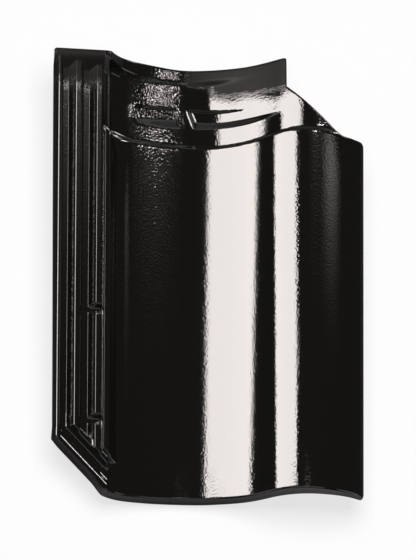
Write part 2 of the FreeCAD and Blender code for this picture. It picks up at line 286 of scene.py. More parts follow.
# The fired outline is not quite straight: spans across the tile where its foot runs forward at the cut corner
# and back in the trough and at the flap, and where its head runs out
CORNER_TRIM = 1.4
FOOT_CORNER = (36.0, 43.0), (44.0, 90.0)
FOOT_TROUGH = (88.0, 115.0), (145.0, 168.0)
FOOT_FLAP = (232.0, 258.0)
HEAD_SWELL = (50.0, 66.0), (84.0, 112.0)
HEAD_DRIFT = 165.0


class TileShape:
    """Heights of the tile's faces in millimetres, in the tile's own frame: X from the side lock, Y from the foot."""

    def __init__(self, scene):
        self.b = self.millimetres(scene.pantile_body)
        self.s = self.millimetres(scene.pantile_side)
        self.h = self.millimetres(scene.pantile_head)
        self.u = self.millimetres(scene.pantile_under)
        b, s = self.b, self.s
        self.ribs = []
        self.mids = []
        reached = 0.0
        rises = (s.rib_rise, s.rib_rise, s.inner_rise)
        for gap, rise in zip((s.channel_a, s.channel_b, s.channel_c), rises):
            self.ribs.append((reached, reached + s.rib, rise))
            reached += s.rib
            self.mids.append(reached + (gap + s.draft - s.rib_slope) / 2)
            reached += gap
        self.ribs[0] = (s.outer, s.outer + s.rib / 2, s.rib_rise)
        self.lip_x = reached
        self.head_lip_x = self.ribs[-1][1]
        self.flank_x = self.lip_x + b.lip_wide + b.flank_run
        self.trough_x = self.flank_x + b.floor_run
        self.crest_x = b.wide - b.flap_reach
        self.flap_z = b.relief - b.roll_r + math.sqrt(b.roll_r ** 2 - b.flap_reach ** 2)
        across = self.crest_x - self.trough_x
        self.trough_r = (across ** 2 + b.relief ** 2) / (2 * b.relief) - b.turn_r
        self.head_right = b.wide - b.head_short
        self.head_turn = b.long - b.head_side
        self.diag = self.head_right + self.head_turn
        self.hollow = self.roll_hollow()
        self.nose_z = -b.thick - b.nose_drop
        nib_y = b.long - self.u.nib_back
        self.lean = math.atan2(self.nose_z + b.thick + self.u.nib_drop, nib_y)
        front = -(b.relief - self.nose_z) * math.sin(self.lean)
        back = b.long * math.cos(self.lean) - b.nose_drop * math.sin(self.lean)
        self.middle_y = (front + back) / 2

    @staticmethod
    def millimetres(group):
        """The group's values by name, lengths in millimetres."""
        out = {}
        for prop in group.bl_rna.properties:
            if prop.identifier in ("rna_type", "name"):
                continue
            value = getattr(group, prop.identifier)
            out[prop.identifier] = value * MM if prop.unit == "LENGTH" else value
        return SimpleNamespace(**out)

    def wing_floor(self, x):
        return self.s.height - self.s.fall * x

    def roll_hollow(self):
        """Hollow of the roll: touches the trough's underside and leaves the flap its edge."""
        b = self.b
        small, large = b.flap_reach, 4 * b.roll_r
        crest = b.relief - b.thick - b.crest_extra
        for _ in range(60):
            r = (small + large) / 2
            z = crest - r
            x = self.trough_x + math.sqrt((self.trough_r + b.thick + r) ** 2 - (self.trough_r - z) ** 2)
            edge = z + math.sqrt(r ** 2 - (b.wide - x) ** 2)
            if edge < self.flap_z - b.flap_edge:
                small = r
            else:
                large = r
        return x, z, r

    def section(self, x, pan, crest_x, crest, roll_r, lip_end, fx, fz, fr):
        """Flank, floor, trough and roll as tangent arcs, drawn on straight beyond the lip."""
        tx = self.trough_x
        rise, across = crest - pan, crest_x - tx
        turn_r = roll_r * self.b.turn_r / self.b.roll_r
        trough_r = (across ** 2 + rise ** 2) / (2 * rise) - turn_r
        bend_x = tx + across * trough_r / (trough_r + turn_r)
        k = pan - fz
        floor_r = (fr ** 2 - (tx - fx) ** 2 - k ** 2) / (2 * (k + fr))
        flat_x = fx - fr * (tx - fx) / (floor_r - fr)
        steep = math.asin((fx - lip_end) / fr)
        lip_z = fz - fr * math.cos(steep)
        flank = dish(x, fx, fz, fr)
        floor = dish(x, tx, pan + floor_r, floor_r)
        trough = dish(x, tx, pan + trough_r, trough_r)
        arc_r = np.where(x < crest_x, turn_r, roll_r)
        roll = crest - arc_r + root(arc_r ** 2 - (x - crest_x) ** 2)
        z = np.where(x < flat_x, flank, np.where(x < tx, floor, np.where(x < bend_x, trough, roll)))
        z = np.where(x < lip_end, lip_z + (lip_end - x) * math.tan(steep), z)
        return z, lip_z

    def head_section(self, x, raised, sunk=None, own_lip=True):
        b, h = self.b, self.h
        top = b.relief - (h.roll_sink if sunk is None else sunk)
        fall = top - self.flap_z + h.flap_sink
        roll_r = ((b.flap_reach + h.crest_back) ** 2 + fall ** 2) / (2 * fall)
        pan = raised - h.sink
        if own_lip:
            lip_end = self.head_lip_x + h.lip_wide
            fx = lip_end + h.flank_run
            flank = (lip_end, fx, h.flank_r + h.rib_rise - h.sink + h.flank_rise, h.flank_r)
        else:
            flank = self.body_flank()
        return self.section(x, pan, self.crest_x - h.crest_back, top, roll_r, *flank)

    def body_flank(self):
        b = self.b
        return self.lip_x + b.lip_wide, self.flank_x, b.flank_r + b.flank_rise, b.flank_r

    def body_section(self, x):
        b = self.b
        return self.section(x, 0.0, self.crest_x, b.relief, b.roll_r, *self.body_flank())

    def corner(self, x, y):
        """Distance from the cut foot corner, square to it."""
        return (x + y - self.b.corner_cut) / math.sqrt(2)

    def main_face(self, x, y):
        """Trough, roll and head lock."""
        h, s, tx = self.h, self.s, self.trough_x
        body, body_lip = self.body_section(x)
        pan, pan_lip = self.head_section(x, 0.0)
        out = x - RIB_OUT * ramp(x, tx, tx + 30.0)
        ribbed, _ = self.head_section(out, h.rib_rise)
        rim, rim_lip = self.head_section(x, h.rim_rise, own_lip=False)
        bow = h.bow * (body - BOW_LEVEL)
        hip, _ = self.head_section(out - h.hip_out * ramp(x, *HIP_SHIFT), h.hip_rise, h.hip_sink)
        hip = ribbed + (hip - ribbed) * ramp(x, *HIP_BLEND)
        lap, _ = self.body_section(x - LAP_OUT * ramp(x, tx, tx + 40.0))
        pan = pan + (lap - h.sink - pan) * ramp(x, tx - 4.0, tx + 16.0)
        pan = np.where(x > tx, soft_min(pan, hip, 0.8), pan)
        # Shoulder, cross rib and rim, steeper right of the trough
        crisp = 1.0 - 0.45 * ramp(x, tx, tx + 24.0)
        to_head = ramp(y - bow, h.shoulder, h.shoulder + h.shoulder_run * crisp)
        top_from = h.rib + h.rib_front * crisp
        top_to = top_from + h.rib_top
        rib_end = top_to + h.rib_back
        front = ramp(y - bow, h.rib, top_from)
        on_rib = front * np.maximum(1.0 - ramp(y - bow, top_to, rib_end), ramp(x, *RIB_MERGE))
        lifted = 1.0 - part(x, self.lip_x + RIM_LIFT_FROM, RIM_LIFT_RUN)
        rim = rim + (hip - rim) * ramp(x, *RIM_BLEND) + h.rim_left * lifted ** RIM_LIFT_POWER
        on_rim = ramp(y - bow, h.rim, h.rim + h.rim_run)
        # Drain gap through the rib, flatter on its left side
        centre = tx + h.gap_out - h.gap_skew * (y - h.rib) / (rib_end - h.rib)
        half = h.gap_floor / 2
        away = np.maximum((centre - x - half) / GAP_SIDES[0], (x - centre - half) / GAP_SIDES[1])
        on_rib = on_rib * soft_max(soft_min(away, 1.0, 0.25), 0.0, 0.25)
        z = body + (pan - body) * to_head + (hip - pan) * on_rib * to_head
        z = z + (rim - z) * on_rim
        past = np.clip(y - h.fall_from, 0.0, None)
        fall = np.where(past < FALL_BEND, past ** 2 / (2 * FALL_BEND), past - FALL_BEND / 2) * h.fall
        z = z - fall * ramp(x, *FALL_BLEND)
        # Lip along the side lock, and the flank's end at the cut corner
        sunk = to_head * (1.0 - on_rim)
        lip_z = body_lip + (pan_lip - body_lip) * sunk + (rim_lip + h.rim_left - body_lip) * on_rim
        lip_x = self.lip_x + (self.head_lip_x - self.lip_x) * sunk
        lipped = soft_min(z, lip_z, 1.2)
        lipped = soft_min(lipped, lip_z + (x - lip_x) * WALL_SLOPE, 0.2)
        drain_end = s.foot_rim + s.drain + s.foot_rib
        cut = self.wing_floor(x) + np.maximum(self.corner(x, y) - drain_end, 0.0) * CUT_SLOPE
        return np.where(x < self.flank_x, soft_min(lipped, cut, 1.5), z)

    def lock_face(self, x, y):
        """Ribs, channels and diagonal foot of the side lock."""
        s, b = self.s, self.b
        floor = self.wing_floor(x)
        away = self.corner(x, y)
        rib_from = s.foot_rim + s.drain
        rib_to = rib_from + s.foot_rib
        lift = np.zeros_like(x)
        for i, (x0, x1, rise) in enumerate(self.ribs):
            if i == 2:
                for start in (s.notch_low, s.notch_high):
                    ends = [(at - NOTCH_EDGE, at + NOTCH_EDGE) for at in (start, start + s.notch)]
                    rise = rise * (1.0 - NOTCH_DEPTH * hump(y, *ends))
            left = rise + (x - x0) * rise / (s.rib_slope if i else s.outer)
            right = rise + (x1 - x) * RIB_SIDE
            bump = soft_min(soft_min(left, right, 0.2), rise, CREST_ROUND[i])
            if i:
                bump = soft_min(bump, (away - rib_from + 1.0) * 3.0, 0.35)
            lift = soft_max(lift, bump, 0.08)
        closing = soft_min((away - rib_from + 3.2) * 1.25, (rib_to + s.draft - away) * RIB_SIDE, 0.6)
        closing = soft_min(closing, s.foot_rib_rise, 1.2)
        x0, _, rise = self.ribs[1]
        closing = soft_min(closing, rise + (x - x0) * rise / s.rib_slope, 0.35)
        lift = soft_max(lift, closing, 0.8)
        rim = soft_min((s.foot_rim + 2.9 - away) * 0.88, s.foot_rim_rise, 1.8)
        x0, _, rise = self.ribs[0]
        rim = soft_min(rim, rise + (x - x0) * rise / s.outer, 0.5)
        lift = soft_max(lift, rim, 2.4)
        bar_y = b.long - s.bar
        bar = (s.height + s.bar_rise - floor + BAR_SINK) * ramp(y, bar_y - 8.0, bar_y + 3.0)
        lift = soft_max(lift, bar - BAR_SINK, 0.7)
        edge = (self.lip_x + b.lip_wide - x) * WALL_SLOPE
        return floor + soft_min(lift, edge, 1.0)

    def top(self, x, y):
        return soft_max(self.main_face(x, y), self.lock_face(x, y), 0.8)

    def under(self, x, y):
        """Underside: wing, flank, floor, trough and hollow roll, with nose and foot bar."""
        b = self.b
        t = b.thick
        tx, tr = self.trough_x, self.trough_r
        ux, uz, ur = self.hollow
        _, fx, fz, fr = self.body_flank()
        floor_r = (fz ** 2 + b.floor_run ** 2 - fr ** 2) / (2 * b.flank_rise)
        flat_x = fx - (fr + t) * b.floor_run / (floor_r - fr)
        bend_x = tx + (ux - tx) * (tr + t) / (tr + t + ur)
        flank = dish(x, fx, fz, fr + t)
        floor = dish(x, tx, floor_r, floor_r + t)
        trough = dish(x, tx, tr, tr + t)
        hollow = uz + root(ur ** 2 - (x - ux) ** 2)
        z = np.where(x < flat_x, flank, np.where(x < tx, floor, np.where(x < bend_x, trough, hollow)))
        z = z - b.nose_drop * (1.0 - ramp(y, *NOSE_END) + hump(y, *FOOT_BAR))
        return soft_min(z, self.wing_floor(x) - self.s.thick + np.maximum(x - 50.0, 0.0), 2.0)

    def low_end(self, x):
        """Foot edge of the outline at X."""
        b = self.b
        y = soft_max(b.corner_cut - CORNER_TRIM - x, np.zeros_like(x), 2.0)
        y = y - 2.3 * hump(x, *FOOT_CORNER)
        y = y + 0.9 * hump(x, *FOOT_TROUGH) + 1.6 * ramp(x, *FOOT_FLAP)
        return y + self.corner_round(x - b.wide, 4.5)

    def high_end(self, x):
        """Upper edge of the outline at X, right of the short head."""
        b = self.b
        y = soft_max(self.diag - x, np.full_like(x, b.flap_end), 2.0)
        return y - self.corner_round(x - b.wide, 3.5)

    def head_end(self, x):
        """Head edge of the outline at X, with its rounded corners."""
        more = 2.9 * ramp(x, HEAD_DRIFT, self.head_right) + 1.7 * hump(x, *HEAD_SWELL)
        return self.b.long + more - self.corner_round(np.maximum(-x, x - self.head_right), 2.5)

    @staticmethod
    def corner_round(past, r):
        """How far a corner of radius r draws in the edge; past is negative before the side of the corner."""
        return r - root(r ** 2 - np.maximum(past + r, 0.0) ** 2)

    def place(self, points):
        """Tile frame in millimetres to the part's frame in metres, as it rests on nose and nibs."""
        c, s = math.cos(self.lean), math.sin(self.lean)
        up = points[:, 2] - self.nose_z
        out = np.empty_like(points)
        out[:, 0] = points[:, 0] - self.b.wide / 2
        out[:, 1] = points[:, 1] * c - up * s - self.middle_y
        out[:, 2] = points[:, 1] * s + up * c
        return out / MM


def spread(start, end, step):
    """Even steps from start up to, not including, end."""
    n = max(1, int(round((end - start) / step)))
    return start + (end - start) * np.arange(n) / n


# Steps of the grid in from an outer edge, close together for the rounding
EDGE_STEPS = np.array([0.0, 0.12, 0.4, 0.85, 1.4])
WALL_STEPS = np.array([*EDGE_STEPS, 2.4, 4.0])
FLAP_STEPS = np.array([*EDGE_STEPS, 2.0, 2.7, 4.0])
# Rows are close together up to the foot row, at the upper notch and from the head row on
FOOT_ROW = 64.0
HEAD_ROW = 306.0
FINE = 0.85
PLAIN = 7.0


def tile_grid(shape):
    """Columns across and rows along the tile, fine at ribs and edges; rows bend to follow the cut corners."""
    wide, right, long, turn = shape.b.wide, shape.head_right, shape.b.long, shape.head_turn
    slope = shape.s.rib_slope
    creases = [x + shift for x, _, _ in shape.ribs[1:] for shift in (-slope, -0.2, 0.1)] + [shape.lip_x + 0.2]
    cols = np.sort(np.concatenate([
        np.add.outer(creases, (-0.16, -0.06, 0.06, 0.16)).ravel(), EDGE_STEPS,
        spread(2.0, 52.0, 0.68), spread(52.0, 98.0, 2.6), spread(98.0, 126.0, 1.1),
        spread(126.0, right - 4.0, 3.0), right - WALL_STEPS,
        right + np.array([0.5, 1.6]), spread(right + 3.5, wide - 4.0, 3.0), wide - FLAP_STEPS,
    ]))
    split = int(np.argmin(np.abs(cols - right)))
    notch_from, notch_to = shape.s.notch_high - 4, shape.s.notch_high + 11
    low = np.concatenate([EDGE_STEPS, spread(2.0, FOOT_ROW, 0.95)])
    mid = np.concatenate([
        spread(FOOT_ROW, 70.0, FINE), spread(70.0, notch_from, PLAIN), spread(notch_from, notch_to, FINE),
        spread(notch_to, HEAD_ROW, PLAIN),
    ])
    high = np.concatenate([spread(HEAD_ROW, 320.0, 2.4), spread(320.0, turn - 2.0, 0.9), turn - EDGE_STEPS[::-1]])
    head = np.concatenate([spread(turn, long - 2.0, FINE)[1:], long - EDGE_STEPS[::-1]])
    x = cols[:, None]
    foot_end = shape.low_end(x)
    side_end = np.where(x <= right, turn, shape.high_end(np.maximum(x, right)))
    head_end = shape.head_end(np.minimum(x, right))
    y = np.concatenate([
        foot_end + low[None, :] / FOOT_ROW * (FOOT_ROW - foot_end),
        np.repeat(mid[None, :], len(cols), 0),
        HEAD_ROW + (high[None, :] - HEAD_ROW) / (turn - HEAD_ROW) * (side_end - HEAD_ROW),
        turn + (head[None, :] - turn) / (long - turn) * (head_end - turn),
    ], 1)
    kept = y.shape[1] - len(head)
    xs = np.repeat(x, y.shape[1], 1)
    # The outer edge of the side lock draws in a little towards the foot
    xs = xs + 1.2 * (1.0 - part(xs, 0.0, 6.0)) * (1.0 - ramp(y, 60.0, 330.0))
    live = np.ones_like(y, bool)
    live[split + 1:, kept:] = False
    return xs, y, live, split, kept


def outline_walk(n, m, split, kept):
    """Grid places round the outline, counter-clockwise from the foot's left end."""
    walk = [(i, 0) for i in range(n)]
    walk += [(n - 1, j) for j in range(1, kept)]
    walk += [(i, kept - 1) for i in range(n - 2, split - 1, -1)]
    walk += [(split, j) for j in range(kept, m)]
    walk += [(i, m - 1) for i in range(split - 1, -1, -1)]
    walk += [(0, j) for j in range(m - 2, 0, -1)]
    return walk


def edge_distance(x, y, px, py):
    """Distance of each point from the closed outline."""
    qx, qy = np.roll(px, -1), np.roll(py, -1)
    dx, dy = qx - px, qy - py
    size = np.maximum(dx ** 2 + dy ** 2, 1e-9)
    out = np.empty_like(x)
    for k in range(0, len(x), CHUNK):
        some = slice(k, k + CHUNK)
        ax, ay = x[some, None] - px, y[some, None] - py
        t = np.clip((ax * dx + ay * dy) / size, 0.0, 1.0)
        out[some] = np.sqrt(((ax - t * dx) ** 2 + (ay - t * dy) ** 2).min(1))
    return out


def round_drop(d, r):
    """How far a rounded edge of radius r falls at a distance d from the outline."""
    return r - root(r ** 2 - (r - np.minimum(d, r)) ** 2)


def plain_mesh(name, points, faces, mats, face_mats=None):
    mesh = bpy.data.meshes.new(name)
    mesh.from_pydata(points.tolist(), [], faces)
    for mat in mats:
        mesh.materials.append(mat)
    if face_mats is not None:
        mesh.polygons.foreach_set("material_index", face_mats)
    mesh.polygons.foreach_set("use_smooth", np.ones(len(mesh.polygons), bool))
    mesh.update()
    return mesh


def add_piece(name, mesh):
    """The finished piece at the origin, riding on the tile's one body and standing for its solid."""
    obj = bpy.data.objects.new(name, mesh)
    bpy.context.scene.collection.objects.link(obj)
    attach(obj, "root")
    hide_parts("pantile")
    return obj


# ---------------------------------------------------------------- node trees and materials

# Spacing of the nodes in the editor
NODE_STEP = 200
SOCKETS = {float: "NodeSocketFloat", int: "NodeSocketInt", bpy.types.Material: "NodeSocketMaterial"}
RIPPLE_INPUTS = ("Fine Scale", "Wave Scale", "Wave Share")
BUMP_HEIGHT = 0.0006
# Dark and pale grains of the thin wash on the underside
WASH = ((0.010, 0.0093, 0.0085), (0.030, 0.028, 0.025))


def node(tree, kind, inputs=None, **settings):
    """A node with its settings; each input is a value or the socket that feeds it."""
    n = tree.nodes.new(kind)
    n.location = NODE_STEP * len(tree.nodes), -NODE_STEP * (len(tree.nodes) % 3)
    for key, value in settings.items():
        setattr(n, key, value)
    for key, value in (inputs or {}).items():
        if isinstance(value, bpy.types.NodeSocket):
            tree.links.new(value, n.inputs[key])
        else:
            n.inputs[key].default_value = value
    return n


def maths(tree, operation, *values):
    return node(tree, "ShaderNodeMath", dict(enumerate(values)), operation=operation).outputs[0]


def mapped(tree, value, before, after, clamp=True):
    """A value moved from one span to another."""
    spans = dict(zip(("From Min", "From Max", "To Min", "To Max"), (*before, *after)))
    return node(tree, "ShaderNodeMapRange", {"Value": value, **spans}, clamp=clamp).outputs[0]


def mixed(tree, share, first, second):
    """Mix of two colours."""
    inputs = {0: share, 6: (*first, 1), 7: (*second, 1)}
    return node(tree, "ShaderNodeMix", inputs, data_type="RGBA", clamp_factor=False).outputs[2]


def new_tree(name, inputs, kind="GeometryNodeTree", outputs=("Geometry",), socket="NodeSocketGeometry"):
    """Node group with the named outputs and with inputs set to the given values; also what its inputs feed."""
    tree = bpy.data.node_groups.new(name, kind)
    for label in outputs:
        tree.interface.new_socket(label, in_out="OUTPUT", socket_type=socket)
    for label, value in inputs.items():
        tree.interface.new_socket(label, in_out="INPUT", socket_type=SOCKETS[type(value)]).default_value = value
    return tree, node(tree, "NodeGroupInput").outputs


def new_material(name):
    mat = bpy.data.materials.new(name)
    mat.use_nodes = True
    mat.node_tree.nodes.clear()
    return mat, mat.node_tree


def ripple_group():
    """Ripple of a fired glaze: fine orange peel and slow waves, as one height, and a speck mask."""
    group = bpy.data.node_groups.get("Glaze ripple")
    if group:
        return group
    group, start = new_tree("Glaze ripple", dict(zip(RIPPLE_INPUTS, (380.0, 60.0, 0.5))), "ShaderNodeTree",
                            ("Height", "Specks"), "NodeSocketFloat")
    place = node(group, "ShaderNodeTexCoord").outputs["Object"]

    def noise(scale, detail, roughness):
        inputs = {"Vector": place, "Scale": scale, "Detail": detail, "Roughness": roughness}
        return node(group, "ShaderNodeTexNoise", inputs).outputs["Fac"]

    slow = maths(group, "MULTIPLY", noise(start["Wave Scale"], 1.0, 0.4), start["Wave Share"])
    height = maths(group, "ADD", noise(start["Fine Scale"], 1.5, 0.45), slow)
    node(group, "NodeGroupOutput", {"Height": height, "Specks": noise(900.0, 2.0, 0.6)})
    return group


def ripple(tree, sizes):
    return node(tree, "ShaderNodeGroup", dict(zip(RIPPLE_INPUTS, sizes)), node_tree=ripple_group()).outputs


def surface(tree, base, rough, height, peel, ior=1.5, level=0.5):
    """Shader and output of a glaze, its normal rippled by a height."""
    bump = node(tree, "ShaderNodeBump", {"Height": height, "Strength": peel, "Distance": BUMP_HEIGHT})
    shader = node(tree, "ShaderNodeBsdfPrincipled", {
        "Base Color": base, "Roughness": rough, "Normal": bump.outputs[0], "IOR": ior, "Specular IOR Level": level})
    node(tree, "ShaderNodeOutputMaterial", {"Surface": shader.outputs[0]})


def full_ripple(look):
    """Sizes of the ripple in the full glaze."""
    return 1.0 / look.peel_size, 55.0, 0.7


def glaze_material(look):
    """High-gloss black glaze, duller and grey towards the dry parts and coarser where the attribute says so."""
    mat, tree = new_material("black_glaze")
    waves = ripple(tree, full_ripple(look))
    dry, coarse = (node(tree, "ShaderNodeAttribute", attribute_name=name).outputs["Fac"]
                   for name in ("dry_glaze", "coarse_glaze"))
    broken = maths(tree, "MULTIPLY_ADD", waves["Specks"], 0.9, -0.45)
    edge = mapped(tree, maths(tree, "ADD", dry, broken), (0.3, 0.75), (0.0, 1.0))
    grain = mapped(tree, waves["Specks"], (0.3, 0.7), (0.3, 1.3), clamp=False)
    base = mixed(tree, maths(tree, "MULTIPLY", edge, grain), look.black, look.dry)
    rough = mapped(tree, edge, (0.0, 1.0), (look.gloss, look.dull))
    swell = maths(tree, "MULTIPLY_ADD", coarse, 3.2, 1.0)
    surface(tree, base, rough, maths(tree, "MULTIPLY", waves["Height"], swell), look.peel)
    return mat


def grained_glaze(name, sizes, grains, dullness, peel, **shine):
    """Thin or dry glaze, with fine specks in its colour and roughness and a ripple of its own."""
    mat, tree = new_material(name)
    waves = ripple(tree, sizes)
    base = mixed(tree, waves["Specks"], *grains)
    surface(tree, base, mapped(tree, waves["Specks"], (0.0, 1.0), dullness), waves["Height"], peel, **shine)
    return mat


def edge_glaze_material(look):
    """Edges: the glaze runs thin over the pressed edge and shines less."""
    return grained_glaze("edge_glaze", (500.0, 80.0, 0.8), (look.black, look.dry),
                         (look.gloss + 0.1, look.dull + 0.1), 0.2, ior=1.36)


def thin_glaze_material(look):
    """Underside: a thin dark glaze wash on fired clay, dull and finely grained."""
    return grained_glaze("thin_glaze", (700.0, 45.0, 0.6), WASH, (0.35, 0.6), 0.25)


def dry_glaze_material(look):
    """Head edge and head of the side lock: matt glaze, with dark and pale grains round its own colour."""
    black, step = Vector(look.black), Vector(look.dry) - Vector(look.black)
    dark = black - step * 0.45
    return grained_glaze("dry_glaze", full_ripple(look), (dark, dark + step * 2.5),
                         (look.dull - 0.06, look.dull + 0.06), look.peel, level=look.sheen)


MAKERS = {"black_glaze": glaze_material, "thin_glaze": thin_glaze_material,
          "edge_glaze": edge_glaze_material, "dry_glaze": dry_glaze_material}


def material(name):
    return bpy.data.materials.get(name) or MAKERS[name](bpy.context.scene.pantile_glaze)


# ---------------------------------------------------------------- operators

# Rings of the side walls, as shares of the way down; the two in the middle are drawn in as a parting line
WALL_SHARES = (0.3, 0.46, 0.54, 0.7)
PARTING = 0.18
# Rounding of the lower edges
UNDER_ROUND = 3.2
# Slots of the body's materials
GLOSSY, WASHED, THIN, MATT = range(4)
# Height of a nib before it is stretched, and how far its top is sunk into the wall
NIB_HEIGHT = 24.0
NIB_SUNK = 4.0


class PANTILE_OT_body(Operator):
    """Build the tile's faces, edges and underside as one closed piece"""
    bl_idname = "pantile.body"
    bl_label = "Tile body"

    def execute(self, context):
        shape = TileShape(context.scene)
        b = shape.b
        x, y, live, split, kept = tile_grid(shape)
        walk = tuple(np.array(outline_walk(*x.shape, split, kept)).T)
        index = np.full(x.shape, -1)
        index[live] = np.arange(live.sum())
        ring = index[walk]
        px, py = x[live], y[live]
        ox, oy = px[ring], py[ring]
        away = edge_distance(px, py, ox, oy)
        away[ring] = 0.0
        top = shape.top(px, py) - round_drop(away, b.edge_round)
        low = shape.under(px, py)
        low = low + round_drop(away, UNDER_ROUND) * np.clip((top - low) / b.thick, 0.3, 1.0)
        drawn = px + b.draft * (1.0 - part(px, 0.0, 9.0)) * part(py, b.corner_cut, 30.0)
        points = [np.column_stack([px, py, top]), np.column_stack([drawn, py, low])]
        nx, ny = np.roll(ox, -1) - np.roll(ox, 1), np.roll(oy, -1) - np.roll(oy, 1)
        size = np.maximum(np.hypot(nx, ny), 1e-6)
        for share in WALL_SHARES:
            inset = PARTING if abs(share - 0.5) < 0.1 else 0.0
            zx = ox + (drawn[ring] - ox) * share - ny / size * inset
            zy = oy + nx / size * inset
            points.append(np.column_stack([zx, zy, top[ring] + (low[ring] - top[ring]) * share]))
        points = shape.place(np.concatenate(points))
        count, around = len(px), len(ring)
        corners = index[:-1, :-1], index[1:, :-1], index[1:, 1:], index[:-1, 1:]
        whole = np.min(corners, 0) >= 0
        quads = np.column_stack([corner[whole] for corner in corners])
        between = [2 * count + k * around + np.arange(around) for k in range(len(WALL_SHARES))]
        rings = [ring, *between, ring + count]
        walls = np.concatenate([np.column_stack([upper, lower, np.roll(lower, -1), np.roll(upper, -1)])
                                for upper, lower in zip(rings, rings[1:])])
        faces = np.concatenate([quads, quads[:, ::-1] + count, walls])
        kinds = np.repeat([GLOSSY, WASHED, THIN], [len(quads), len(quads), len(walls)])
        repeats = [np.concatenate([p, p] + [p[ring]] * len(WALL_SHARES)) for p in (px, py)]
        masks = self.finish_masks(shape, *repeats)
        # Faces well inside the dry parts are matt, with a broken border
        border = 0.6 + 0.3 * (np.random.default_rng(11).random(len(quads)) - 0.5)
        kinds[:len(quads)][masks["dry_glaze"][quads].mean(1) > border] = MATT
        mats = [material(name) for name in ("black_glaze", "thin_glaze", "edge_glaze", "dry_glaze")]
        mesh = plain_mesh("tile_body", points, faces.tolist(), mats, kinds)
        for name, values in masks.items():
            layer = mesh.attributes.new(name, "FLOAT", "POINT")
            layer.data.foreach_set("value", values.astype(np.float32))
        add_piece("tile_body", mesh)
        return {"FINISHED"}

    @staticmethod
    def finish_masks(shape, x, y):
        """Where the glaze is dry, at the head edge and the head of the side lock, and where its ripple is coarse."""
        wing = part(y, shape.b.long - 46.0, 30.0) * part(-x, -shape.lip_x, 3.0)
        rim = part(y, shape.h.rim - 8.0, 8.0) * part(x, 108.0, 12.0)
        hip = part(y, 366.0, 14.0) * part(x, 125.0, 20.0)
        left = part(-x, -120.0, 14.0) * part(x, 62.0, 10.0)
        right = part(x, 196.0, 12.0) * part(-x, -240.0, 8.0)
        # The sunk head is coarse, the top of its cross rib more so, and the dark bands have a light grain
        on_rib = part(y, 347.0, 3.0) * part(-y, -361.0, 3.0)
        coarse = left * part(y, 290.0, 40.0) * (1.0 + 1.3 * on_rib)
        grain = 0.4 * np.maximum(left, right) * part(y, 60.0, 60.0)
        return {"dry_glaze": np.maximum(np.maximum(wing, rim), hip), "coarse_glaze": np.maximum(coarse, grain)}


def grown(name, tree):
    """Plain mesh that a node tree makes, and its corners in millimetres."""
    holder = bpy.data.objects.new(name, bpy.data.meshes.new(name + "_seed"))
    bpy.context.scene.collection.objects.link(holder)
    holder.modifiers.new(tree.name, "NODES").node_group = tree
    evaluated = holder.evaluated_get(bpy.context.evaluated_depsgraph_get())
    mesh = bpy.data.meshes.new_from_object(evaluated)
    holder.modifiers.clear()
    bpy.data.objects.remove(holder)
    mesh.name = name
    points = np.empty(len(mesh.vertices) * 3)
    mesh.vertices.foreach_get("co", points)
    return mesh, points.reshape(-1, 3) * MM


def add_grown(name, mesh, points):
    """A grown mesh as a flat-shaded piece, its corners moved to the given places in metres."""
    mesh.vertices.foreach_set("co", points.ravel())
    mesh.polygons.foreach_set("use_smooth", np.zeros(len(mesh.polygons), bool))
    mesh.update()
    add_piece(name, mesh)


def xyz(tree, **axes):
    return node(tree, "ShaderNodeCombineXYZ", axes).outputs[0]


def row_of(tree, start, piece, offset):
    """Painted copies of a piece in a row, as the tree's result."""
    line = node(tree, "GeometryNodeMeshLine", {"Count": start["Count"], "Offset": offset})
    copies = node(tree, "GeometryNodeInstanceOnPoints", {"Points": line.outputs[0], "Instance": piece})
    real = node(tree, "GeometryNodeRealizeInstances", {0: copies.outputs[0]})
    paint = node(tree, "GeometryNodeSetMaterial", {"Geometry": real.outputs[0], "Material": start["Material"]})
    node(tree, "NodeGroupOutput", {0: paint.outputs[0]})


class PANTILE_OT_cover_ribs(Operator):
    """Build the two ribs under the cover flap by sweeping a rounded profile along the tile"""
    bl_idname = "pantile.cover_ribs"
    bl_label = "Cover ribs"

    def execute(self, context):
        shape = TileShape(context.scene)
        u, mids = shape.u, shape.mids
        floors = [shape.wing_floor(x) for x in mids]
        values = {
            "Width": u.rib / MM, "Depth": u.rib_deep / MM,
            "Run": (shape.h.shoulder - 2 * u.rib_inset) / MM, "Spacing": (mids[1] - mids[0]) / MM,
            "Step": (floors[1] - floors[0]) / MM, "Count": 2, "Material": material("thin_glaze"),
        }
        mesh, points = grown("cover_ribs", self.swept_rib(values))
        # The profile hangs down from its wide side, which is sunk into the flap
        points[:, 2] += floors[0] + u.rib_clear + u.rib_deep / 2
        points[:, 0] += shape.b.wide - shape.lip_x + u.side_clear + mids[0]
        points[:, 1] += u.rib_inset
        add_grown("cover_ribs", mesh, shape.place(points))
        return {"FINISHED"}

    @staticmethod
    def swept_rib(values):
        tree, start = new_tree("Swept rib", values)
        path = node(tree, "GeometryNodeCurvePrimitiveLine", {"End": xyz(tree, Y=start["Run"])})
        fine = node(tree, "GeometryNodeResampleCurve", {"Curve": path.outputs[0], "Count": 40})
        profile = node(tree, "GeometryNodeCurvePrimitiveQuadrilateral", mode="TRAPEZOID", inputs={
            "Height": start["Depth"], "Top Width": start["Width"],
            "Bottom Width": maths(tree, "MULTIPLY", start["Width"], 1.6), "Offset": 0.0})
        fillet = node(tree, "GeometryNodeFilletCurve", mode="POLY", inputs={
            "Curve": profile.outputs[0], "Radius": 0.0012, "Count": 4})
        sweep = node(tree, "GeometryNodeCurveToMesh", {
            "Curve": fine.outputs[0], "Profile Curve": fillet.outputs[0], "Fill Caps": True})
        row_of(tree, start, sweep.outputs[0], xyz(tree, X=start["Spacing"], Z=start["Step"]))
        return tree


